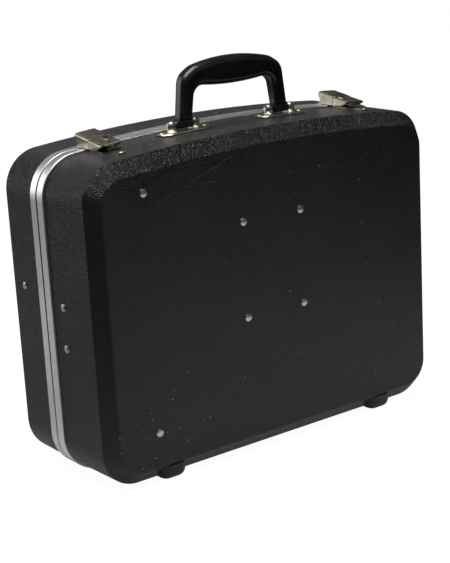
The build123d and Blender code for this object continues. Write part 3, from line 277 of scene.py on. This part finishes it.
def makeShellPlastic():
    mat, t, shader, at, normal = startFinish("shellPlastic", Specular_IOR_Level=0.37)
    faces = addNode(t, "ShaderNodeSeparateXYZ", {0: normal}).outputs
    place = addNode(t, "ShaderNodeSeparateXYZ", {0: at}).outputs
    grain, topBevel = leatherBump(t, at, faces[0], faces[2])
    t.links.new(grain, shader.inputs["Normal"])

    patch = grainNoise(t, at, 14, 5, 0.65)
    colour = mixColour(t, ramp(t, patch, 0.35, 0.7), shell["black"], shell["worn"])
    # upward faces are lighter, in noisy patches
    upFacingShare = times(t, ramp(t, faces[2], 0.8, 1.0), ramp(t, grainNoise(t, at, 60, 6, 0.7), 0.3, 0.8, 0.3, 0.8))
    colour = mixColour(t, upFacingShare, colour, shell["upFacingTone"])
    front = calc(t, "LESS_THAN", faces[1], -0.9)
    colour = mixColour(t, times(t, paintSpecks(t, at, place[0], place[2]), front), colour, shell["speck"])
    colour = mixColour(t, rubbedMarks(t, at, front), colour, shell["scratch"])
    # painted shadow: a near-black band on the shell along each edge of the proud aluminium strips, with the
    # roughness raised in it
    reach = calc(t, "ABSOLUTE", calc(t, "SUBTRACT", place[1], partingY))
    stripShadow = ramp(t, reach, shell["stripEdge"] + 0.0004, shell["stripEdge"] + 0.0016, 1.0, 0.0)
    colour = mixColour(t, stripShadow, colour, shell["stripShadow"])
    t.links.new(colour, shader.inputs["Base Color"])

    satin = ramp(t, patch, 0.3, 0.75, shell["smooth"], shell["rough"])
    change = calc(t, "SUBTRACT", times(t, stripShadow, 0.4), times(t, topBevel, 0.08))
    t.links.new(calc(t, "ADD", satin, change), shader.inputs["Roughness"])
    return mat


def makeMetal(name, bright, dull, rough, along=(1, 1, 1), patches=30.0, seam=False, shadedFoot=False):
    mat, t, shader, at, normal = startFinish(name, Metallic=1.0)
    drawn = grainNoise(t, scaled(t, at, along), 900, 3, 0.6)
    marks = grainNoise(t, at, patches, 6, 0.68)
    stain = times(t, ramp(t, marks, 0.4, 0.72), ramp(t, grainNoise(t, at, patches * 7, 3), 0.3, 0.7))
    colour = mixColour(t, stain, bright, dull)
    if seam:  # painted shade in the joint between the two strips, darker than the narrow gap renders by itself
        across = addNode(t, "ShaderNodeSeparateXYZ", {0: at}).outputs[1]
        reach = calc(t, "ABSOLUTE", calc(t, "SUBTRACT", across, partingY))
        colour = mixColour(t, ramp(t, reach, 0.0009, 0.0013, 0.92, 0.0), colour, (0.012, 0.012, 0.012))
    if shadedFoot:  # painted shade round the foot of each head, where the dome turns away from its seat's facing, patched by the random stain noise
        forward = vectorCalc(t, "DOT_PRODUCT", normal, (0, -1, 0))
        sideways = calc(t, "ABSOLUTE", vectorCalc(t, "DOT_PRODUCT", normal, (1, 0, 0)))
        crownShare = calc(t, "MAXIMUM", forward, sideways)
        footShadeAndStain = calc(t, "ADD", ramp(t, crownShare, 0.93, 0.72), ramp(t, marks, 0.45, 0.75, -0.25, 0.35), True)
        colour = mixColour(t, footShadeAndStain, colour, (0.028, 0.026, 0.014))
    t.links.new(colour, shader.inputs["Base Color"])
    polish = ramp(t, marks, 0.3, 0.8, rough, rough + 0.14)
    t.links.new(calc(t, "ADD", polish, ramp(t, drawn, 0.3, 0.7, 0.0, 0.06)), shader.inputs["Roughness"])
    t.links.new(bump(t, marks, 0.0003, 0.15, bump(t, drawn, 0.00004, 0.7)), shader.inputs["Normal"])
    return mat


def makeMoulded(name, colour, rough, peel=0.00008, size=700.0):
    mat, t, shader, at, _ = startFinish(name, Specular_IOR_Level=0.5)
    marks = grainNoise(t, at, 22, 6, 0.7)
    lighter = tuple(c * 2.2 + 0.004 for c in colour)
    t.links.new(mixColour(t, ramp(t, marks, 0.45, 0.8), colour, lighter), shader.inputs["Base Color"])
    t.links.new(ramp(t, marks, 0.3, 0.75, rough, rough + 0.16), shader.inputs["Roughness"])
    t.links.new(bump(t, grainNoise(t, at, size, 3), peel, 0.6), shader.inputs["Normal"])
    return mat


def threads(t, at, thread, axis):
    return addNode(t, "ShaderNodeTexWave", {"Vector": at, "Scale": 0.32 / thread, "Distortion": 0.6,
                                            "Detail": 1.0}, bands_direction=axis).outputs[1]


def makeCloth(name, colour, fuzz, thread=0.0009, pile=False):
    mat, t, shader, at, _ = startFinish(name, Roughness=0.9, Sheen_Weight=fuzz, Sheen_Roughness=0.4,
                                        Specular_IOR_Level=0.15)
    if pile:
        weave = grainNoise(t, at, 1 / thread, 4, 0.7)
    else:
        weave = times(t, threads(t, at, thread, "X"), threads(t, at, thread, "Z"))
    lighter = tuple(c * 1.9 for c in colour)
    t.links.new(mixColour(t, weave, colour, lighter), shader.inputs["Base Color"])
    slack = bump(t, grainNoise(t, at, 40, 3), 0.0008, 0.3)
    t.links.new(bump(t, weave, 0.0003, 0.6, slack), shader.inputs["Normal"])
    return mat


finish = {
    "shell": makeShellPlastic(),
    "valance": makeMetal("satinAluminium", (0.88, 0.88, 0.875), (0.62, 0.615, 0.6), 0.3, (0.03, 1.6, 0.03),
                         seam=True),
    "nickel": makeMetal("wornNickel", (0.43, 0.405, 0.32), (0.15, 0.142, 0.095), 0.24, (0.2, 0.2, 0.2),
                        patches=90.0),
    "brass": makeMetal("dullBrass", (0.50, 0.46, 0.33), (0.30, 0.27, 0.18), 0.32),
    "plated": makeMetal("zincPlate", (0.56, 0.56, 0.54), (0.42, 0.42, 0.4), 0.34),
    "rivet": makeMetal("softRivet", (0.40, 0.39, 0.34), (0.22, 0.215, 0.17), 0.34),
    "dome": makeMetal("rubbedDome", (0.60, 0.57, 0.48), (0.26, 0.245, 0.18), 0.24, patches=300.0, shadedFoot=True),
    "lock": makeMetal("lockPlate", (0.36, 0.34, 0.27), (0.12, 0.115, 0.08), 0.27, patches=120.0),
    "keyPlug": makeMetal("darkKeyPlug", (0.07, 0.066, 0.052), (0.03, 0.028, 0.02), 0.4, patches=120.0),
    "board": makeMoulded("dividerBoard", (0.012, 0.012, 0.013), 0.3),
    "grip": makeMoulded("gripPlastic", (0.0035, 0.0035, 0.004), 0.2, 0.00018, 620.0),
    "black_steel": makeMoulded("blackEnamel", (0.005, 0.005, 0.0055), 0.22, 0.00003),
    "plug": makeMoulded("darkRubber", (0.012, 0.012, 0.012), 0.5),
    "lining": makeCloth("pileLining", (0.075, 0.075, 0.083), 0.35, 0.0008, True),
    "pocket": makeCloth("pocketCloth", (0.045, 0.045, 0.052), 0.25),
    "tape": makeCloth("bindingTape", (0.012, 0.012, 0.014), 0.15, 0.0006),
    "thread": makeCloth("sewingThread", (0.2, 0.2, 0.2), 0.2, 0.0003),
}
slots = {part["node"]: part["material_slot"] for part in frame["record"]["subparts"]}
for name, obj in nodes.items():
    obj.data.materials.clear()
    obj.data.materials.append(finish["keyPlug" if name.startswith("lock_plug") else slots[name]])
print("finishes made:", len(finish))


def linkMesh(name, mesh):
    obj = bpy.data.objects.new(name, mesh)
    bpy.context.scene.collection.objects.link(obj)
    return obj


def settle(obj, name, body, stoodFor=()):
    graph = bpy.context.evaluated_depsgraph_get()
    mesh = bpy.data.meshes.new_from_object(obj.evaluated_get(graph))
    bpy.data.objects.remove(obj)
    mesh.name = name
    piece = linkMesh(name, mesh)
    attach(piece, body)
    if stoodFor:
        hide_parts(*stoodFor)
    print(name, "made,", len(mesh.polygons), "faces")
    return piece


def startTree(name, sizes):
    tree = bpy.data.node_groups.new(name, "GeometryNodeTree")
    tree.interface.new_socket(name="Geometry", in_out="INPUT", socket_type="NodeSocketGeometry")
    tree.interface.new_socket(name="Geometry", in_out="OUTPUT", socket_type="NodeSocketGeometry")
    for key, value in sizes.items():
        kind = "NodeSocketInt" if isinstance(value, int) else "NodeSocketFloat"
        tree.interface.new_socket(name=key, in_out="INPUT", socket_type=kind).default_value = value
    tree.interface.new_socket(name="Material", in_out="INPUT", socket_type="NodeSocketMaterial")
    return tree, addNode(tree, "NodeGroupInput").outputs


def endTree(tree, geometry, material):
    real = addNode(tree, "GeometryNodeRealizeInstances", {0: geometry}).outputs[0]
    soft = calc(tree, "LESS_THAN", addNode(tree, "GeometryNodeInputMeshEdgeAngle").outputs[0], 0.75)
    smooth = addNode(tree, "GeometryNodeSetShadeSmooth", {"Geometry": real, "Shade Smooth": soft}, domain="EDGE")
    painted = addNode(tree, "GeometryNodeSetMaterial", {"Geometry": smooth.outputs[0], "Material": material})
    addNode(tree, "NodeGroupOutput", {0: painted.outputs[0]})


def useTree(obj, tree, material, **sizes):
    modifier = obj.modifiers.new("nodes", "NODES")
    modifier.node_group = tree
    for item in tree.interface.items_tree:
        if item.in_out != "INPUT":
            continue
        if item.name == "Material":
            modifier[item.identifier] = material
        elif item.name in sizes:
            modifier[item.identifier] = sizes[item.name]


# rivets: a turned profile of rows, one on each seat
domeRows = ((1.0, 0.0), (0.97, 0.16), (0.88, 0.42), (0.72, 0.68), (0.5, 0.86), (0.26, 0.97), (0.06, 1.0))
frontRivet = {"Head Radius": 0.0046, "Head Height": 0.0015, "Shank Radius": 0.0024, "Grip": 0.00705,
              "Tail Radius": 0.0039, "Tail Height": 0.001, "Sides": 28}
sideRivet = {**frontRivet, "Head Radius": 0.0044, "Grip": 0.0045}
smallRivet = {"Head Radius": 0.0032, "Head Height": 0.001, "Shank Radius": 0.0016, "Tail Radius": 0.0026,
              "Tail Height": 0.0008, "Sides": 24}


def makeRivetTree():
    tree, given = startTree("domedRivets", frontRivet)
    head, height, shank = given["Head Radius"], given["Head Height"], given["Shank Radius"]
    tail, tailHeight = given["Tail Radius"], given["Tail Height"]
    step = 0.00002  # two rows closer than this read as one edge
    under = times(tree, given["Grip"], -1.0)
    rows = [(calc(tree, "SUBTRACT", under, tailHeight), times(tree, tail, 0.75)),
            (calc(tree, "SUBTRACT", under, times(tree, tailHeight, 0.35)), tail),
            (calc(tree, "SUBTRACT", under, step), tail), (under, shank), (times(tree, head, -0.004), shank)]
    rows += [(times(tree, height, up), times(tree, head, out)) for out, up in domeRows]
    count = len(rows) - 1
    body = addNode(tree, "GeometryNodeMeshCylinder", {"Vertices": given["Sides"], "Side Segments": count,
                                                      "Radius": 1.0, "Depth": float(count)})
    position = addNode(tree, "GeometryNodeInputPosition").outputs[0]
    place = addNode(tree, "ShaderNodeSeparateXYZ", {0: position}).outputs
    index = addNode(tree, "FunctionNodeFloatToInt", {0: calc(tree, "ADD", place[2], count / 2)},
                    rounding_mode="ROUND").outputs[0]
    picked = []
    for column in (0, 1):
        switch = tree.nodes.new("GeometryNodeIndexSwitch")
        switch.data_type = "FLOAT"
        while len(switch.index_switch_items) <= count:
            switch.index_switch_items.new()
        tree.links.new(index, switch.inputs[0])
        for n, row in enumerate(rows):
            tree.links.new(row[column], switch.inputs[n + 1])
        picked.append(switch.outputs[0])
    level, reach = picked
    turned = addNode(tree, "ShaderNodeCombineXYZ", {0: times(tree, place[0], reach),
                                                    1: times(tree, place[1], reach), 2: level}).outputs[0]
    rivet = addNode(tree, "GeometryNodeSetPosition", {"Geometry": body.outputs["Mesh"], "Position": turned})
    facing = addNode(tree, "GeometryNodeInputNamedAttribute", {"Name": "facing"},
                     data_type="FLOAT_VECTOR").outputs[0]
    turn = addNode(tree, "FunctionNodeAlignRotationToVector", {"Vector": facing}, axis="Z").outputs[0]
    seated = addNode(tree, "GeometryNodeInstanceOnPoints", {"Points": given["Geometry"], "Rotation": turn,
                                                            "Instance": rivet.outputs[0]}).outputs[0]
    endTree(tree, seated, given["Material"])
    return tree


rivetTree = makeRivetTree()


def setRivets(name, seats, body, slotName, replaced, sizes):
    mesh = bpy.data.meshes.new(name)
    mesh.from_pydata([place for place, facing in seats], [], [])
    facing = mesh.attributes.new("facing", "FLOAT_VECTOR", "POINT")
    for item, seat in zip(facing.data, seats):
        item.vector = seat[1]
    obj = linkMesh(name + "Seats", mesh)
    useTree(obj, rivetTree, finish[slotName], **sizes)
    settle(obj, name, body, (replaced,))


# the crowned top that the shells, pedestals and latches follow
case = {"half": 0.228, "top": 0.3474, "crown": 2.0, "wallInset": 0.00205, "bottom": 0.0014,
        "lowerCorner": 0.045, "upperCorner": 0.0435}


def crownZ(x, inset=0.0):
    return case["top"] - case["crown"] + math.sqrt((case["crown"] - inset) ** 2 - x * x)


def topSeat(x, y, inset, along, back, rise):
    lean = math.asin(x / case["crown"])
    right, up = Vector((math.cos(lean), 0, -math.sin(lean))), Vector((math.sin(lean), 0, math.cos(lean)))
    return Vector((x, partingY + y, crownZ(x, inset))) + right * along + Vector((0, back, 0)) + up * rise, up


frontSeats = {"depth": 0.0935, "spots": ((-0.162, 0.056), (-0.162, 0.304), (-0.042, 0.1514), (-0.042, 0.2538),
                                         (0.034, 0.1514), (0.034, 0.2538))}
sideSeats = {"x": 0.224909, "depth": 0.0303, "heights": (0.14575, 0.18905), "lean": 0.0575}
pedestalSeats = {"x": 0.064, "y": -0.028, "across": 0.0275, "rise": 0.00185}
latchSeats = {"x": 0.161, "spots": ((0, -0.058), (-0.0075, -0.019), (0.0075, -0.019)), "rise": -0.0008}
capSeats = {"spots": ((-0.0037, 0.0076), (0.0037, 0.0076)), "rise": 0.00135}
hands = (-1, 1)

frontPlaces = [((x, partingY - frontSeats["depth"], z), (0, -1, 0)) for x, z in frontSeats["spots"]]
setRivets("frontRivets", frontPlaces, "base", "dome", "front_rivets", frontRivet)
sidePlaces = [((hand * sideSeats["x"], partingY - sideSeats["depth"], z),
               Vector((hand, -sideSeats["lean"], 0)).normalized())
              for hand in hands for z in sideSeats["heights"]]
setRivets("sideRivets", sidePlaces, "base", "dome", "side_rivets", sideRivet)
pedestalPlaces = [topSeat(hand * pedestalSeats["x"], pedestalSeats["y"], case["wallInset"],
                          side * pedestalSeats["across"], 0, pedestalSeats["rise"])
                  for hand in hands for side in hands]
setRivets("pedestalRivets", pedestalPlaces, "base", "brass", "pedestal_rivets", {**smallRivet, "Grip": 0.00655})
latchPlaces = [topSeat(hand * latchSeats["x"], 0, 0, x, y, latchSeats["rise"])
               for hand in hands for x, y in latchSeats["spots"]]
setRivets("latchRivets", latchPlaces, "base", "rivet", "latch_rivets", {**smallRivet, "Grip": 0.00455})
capPlaces = [topSeat(hand * latchSeats["x"], 0, 0, x, y, capSeats["rise"])
             for hand in hands for x, y in capSeats["spots"]]
setRivets("capRivets", capPlaces, "lid", "rivet", "cap_rivets", {**smallRivet, "Grip": 0.0076})


# a point of the case's outline drawn in by inset, at shares across and up
def panelPoint(inset, across, up, y):
    half, bottom = case["half"] - inset, case["bottom"] + inset
    lower, upper = case["lowerCorner"] - inset, case["upperCorner"] - inset
    side = crownZ(half - upper, inset) - bottom
    high = up * side
    wide = half
    if high < lower:
        wide = half - lower + math.sqrt(max(0.0, lower**2 - (lower - high) ** 2))
    elif side - high < upper:
        wide = half - upper + math.sqrt(max(0.0, upper**2 - (upper - side + high) ** 2))
    x = wide * across
    return Vector((x, y, bottom + up * (crownZ(x, inset) - bottom)))


def closerAtEnds(step, count):
    return 0.5 - 0.5 * math.cos(math.pi * step / count)


def gridMesh(name, rows, flip=False):
    made = bmesh.new()
    grid = [[made.verts.new(p) for p in row] for row in rows]
    for a, b in zip(grid, grid[1:]):
        for n in range(len(a) - 1):
            quad = (a[n], a[n + 1], b[n + 1], b[n])
            made.faces.new(tuple(reversed(quad)) if flip else quad)
    mesh = bpy.data.meshes.new(name)
    made.to_mesh(mesh)
    made.free()
    for face in mesh.polygons:
        face.use_smooth = True
    return mesh


def thicken(obj, thickness):
    wall = obj.modifiers.new("thickness", "SOLIDIFY")
    wall.thickness = thickness
    wall.offset = 0.0
    wall.use_even_offset = False


# linings: felt stretched on the two inner faces
lining = {"inset": 0.0196, "thickness": 0.0014, "columns": 96, "rows": 74, "ripple": 0.00022,
          "baseDepth": 0.08975, "lidDepth": 0.07605}


def makeLining(name, y, towards, body, node):
    rows = []
    for j in range(lining["rows"] + 1):
        up = closerAtEnds(j, lining["rows"])
        row = []
        for i in range(lining["columns"] + 1):
            p = panelPoint(lining["inset"], 2 * i / lining["columns"] - 1, up, y)
            swell = towards * lining["ripple"] * noise.noise(p * 26)
            p.y += swell + towards * 0.4 * lining["ripple"] * noise.noise(p * 90)
            row.append(p)
        rows.append(row)
    obj = linkMesh(name + "Flat", gridMesh(name, rows, towards > 0))
    thicken(obj, lining["thickness"])
    obj.data.materials.append(finish["lining"])
    piece = settle(obj, name, body, (node,))


makeLining("baseLining", partingY - lining["baseDepth"], 1, "base", "base_liner")
makeLining("lidLining", partingY + lining["lidDepth"], -1, "lid", "lid_liner")


# pouch in the lid: cloth gathered into a hem at its mouth, bound and sewn along the other sides
pouch = {"half": 0.17, "low": 0.05, "high": 0.24, "corner": 0.022, "rear": 0.0736, "thickness": 0.0011,
         "bulge": 0.0062, "waves": 27, "gather": 0.0011, "sag": 0.0018, "dent": 0.0005, "hem": 0.0135,
         "columns": 270, "rows": 56, "tape": 0.0045, "tapeRise": 0.0011, "tapeThickness": 0.0008,
         "rimDepth": 0.0014}


def pouchPoint(across, up, lift=0.0):
    wide = pouch["half"]
    tall = pouch["high"] - pouch["low"]
    high = up * tall
    if high < pouch["corner"]:
        wide -= pouch["corner"] - math.sqrt(pouch["corner"] ** 2 - (pouch["corner"] - high) ** 2)
    x = wide * across
    edge = max(0.0, 1 - across**2) ** 0.6
    belly = math.sin(math.pi * min(1.0, up**0.75)) ** 0.8 * edge
    mouth = max(0.0, (up - 0.3) / 0.7)
    crease = math.sin(pouch["waves"] * math.pi * across + 1.3 * noise.noise(Vector((across * 5, 0, 2.1))))
    crease *= mouth**1.6 * min(1.0, 12 * (1 - abs(across)))
    if up > 1 - pouch["hem"] / tall:
        crease *= 0.75
    dents = noise.noise(Vector((x * 38, high * 26, 4.0))) * pouch["dent"] * edge * min(1.0, 10 * up)
    folds = pouch["gather"] * (1 + crease) * mouth**0.5 * min(1.0, 20 * (1 - abs(across)))
    depth = 0.0009 + pouch["bulge"] * belly * (1 - 0.45 * up) + folds
    sag = pouch["sag"] * math.cos(math.pi * across / 2) * up**4
    return Vector((x, partingY + pouch["rear"] - depth - dents - lift, pouch["low"] + high - sag))


def makePouch():
    rows = []
    for j in range(pouch["rows"] + 1):
        up = closerAtEnds(j, pouch["rows"])
        rows.append([pouchPoint(2 * i / pouch["columns"] - 1, up) for i in range(pouch["columns"] + 1)])
    obj = linkMesh("pouchFlat", gridMesh("pouch", rows))
    thicken(obj, pouch["thickness"])
    obj.data.materials.append(finish["pocket"])
    return settle(obj, "lidPouch", "lid", ("lid_pocket",))


def pouchRim():
    path = []
    down = [(-1.0, 1 - n / 40) for n in range(41)]
    along = [(-1 + n / 55, 0.0) for n in range(1, 110)]
    back = [(1.0, n / 40) for n in range(41)]
    points = [pouchPoint(across, up) for across, up in down + along + back]
    for n, p in enumerate(points):
        run = points[min(len(points) - 1, n + 1)] - points[max(0, n - 1)]
        run.y = 0
        run.normalize()
        place = Vector((p.x, partingY + pouch["rear"] - pouch["rimDepth"], p.z))
        path.append((place, Vector((-run.z, 0, run.x))))
    return path


def makeTape(path):
    rows = []
    for n, (p, inward) in enumerate(path):
        row = []
        for k in range(7):
            t = 2 * k / 6 - 1
            rise = -pouch["tapeRise"] * (1 - abs(t) ** 3) + 0.00006 * math.sin(n * 1.7)
            row.append(p + inward * pouch["tape"] * (1 + t) + Vector((0, rise, 0)))
        rows.append(row)
    obj = linkMesh("pouchTapeFlat", gridMesh("pouchTape", rows))
    thicken(obj, pouch["tapeThickness"])
    obj.data.materials.append(finish["tape"])
    settle(obj, "pouchTape", "lid")


stitch = {"Spacing": 0.0034, "Length": 0.0024, "Thickness": 0.00034}
seams = {"inset": 0.0068, "lift": 0.0014, "hemReach": 0.97, "hemLift": 0.00075, "hemSteps": 300}


def makeStitchTree():
    tree, given = startTree("stitchRun", stitch)
    line = addNode(tree, "GeometryNodeMeshToCurve", {0: given["Geometry"]}).outputs[0]
    spread = addNode(tree, "GeometryNodeCurveToPoints", {"Curve": line, "Length": given["Spacing"]},
                     mode="LENGTH").outputs
    thread = addNode(tree, "GeometryNodeMeshUVSphere", {"Segments": 6, "Rings": 5, "Radius": 0.5}).outputs[0]
    size = addNode(tree, "ShaderNodeCombineXYZ", {0: given["Thickness"], 1: given["Thickness"],
                                                  2: given["Length"]}).outputs[0]
    turn = addNode(tree, "FunctionNodeAlignRotationToVector", {"Vector": spread["Tangent"]}, axis="Z").outputs[0]
    sewn = addNode(tree, "GeometryNodeInstanceOnPoints", {"Points": spread["Points"], "Instance": thread,
                                                          "Rotation": turn, "Scale": size}).outputs[0]
    endTree(tree, sewn, given["Material"])
    return tree


stitchTree = makeStitchTree()


def sew(name, points, body):
    mesh = bpy.data.meshes.new(name)
    mesh.from_pydata(points, [(n, n + 1) for n in range(len(points) - 1)], [])
    obj = linkMesh(name + "Line", mesh)
    useTree(obj, stitchTree, finish["thread"])
    settle(obj, name, body)


lidPouch = makePouch()
rim = pouchRim()
makeTape(rim)
lift = Vector((0, -seams["lift"], 0))
sew("pouchStitches", [p + inward * seams["inset"] + lift for p, inward in rim], "lid")
hemUp = 1 - pouch["hem"] / (pouch["high"] - pouch["low"])
hemLine = [pouchPoint(-seams["hemReach"] + 2 * seams["hemReach"] * n / seams["hemSteps"], hemUp, seams["hemLift"])
           for n in range(seams["hemSteps"] + 1)]
sew("hemStitches", hemLine, "lid")
print("pouch sewn")
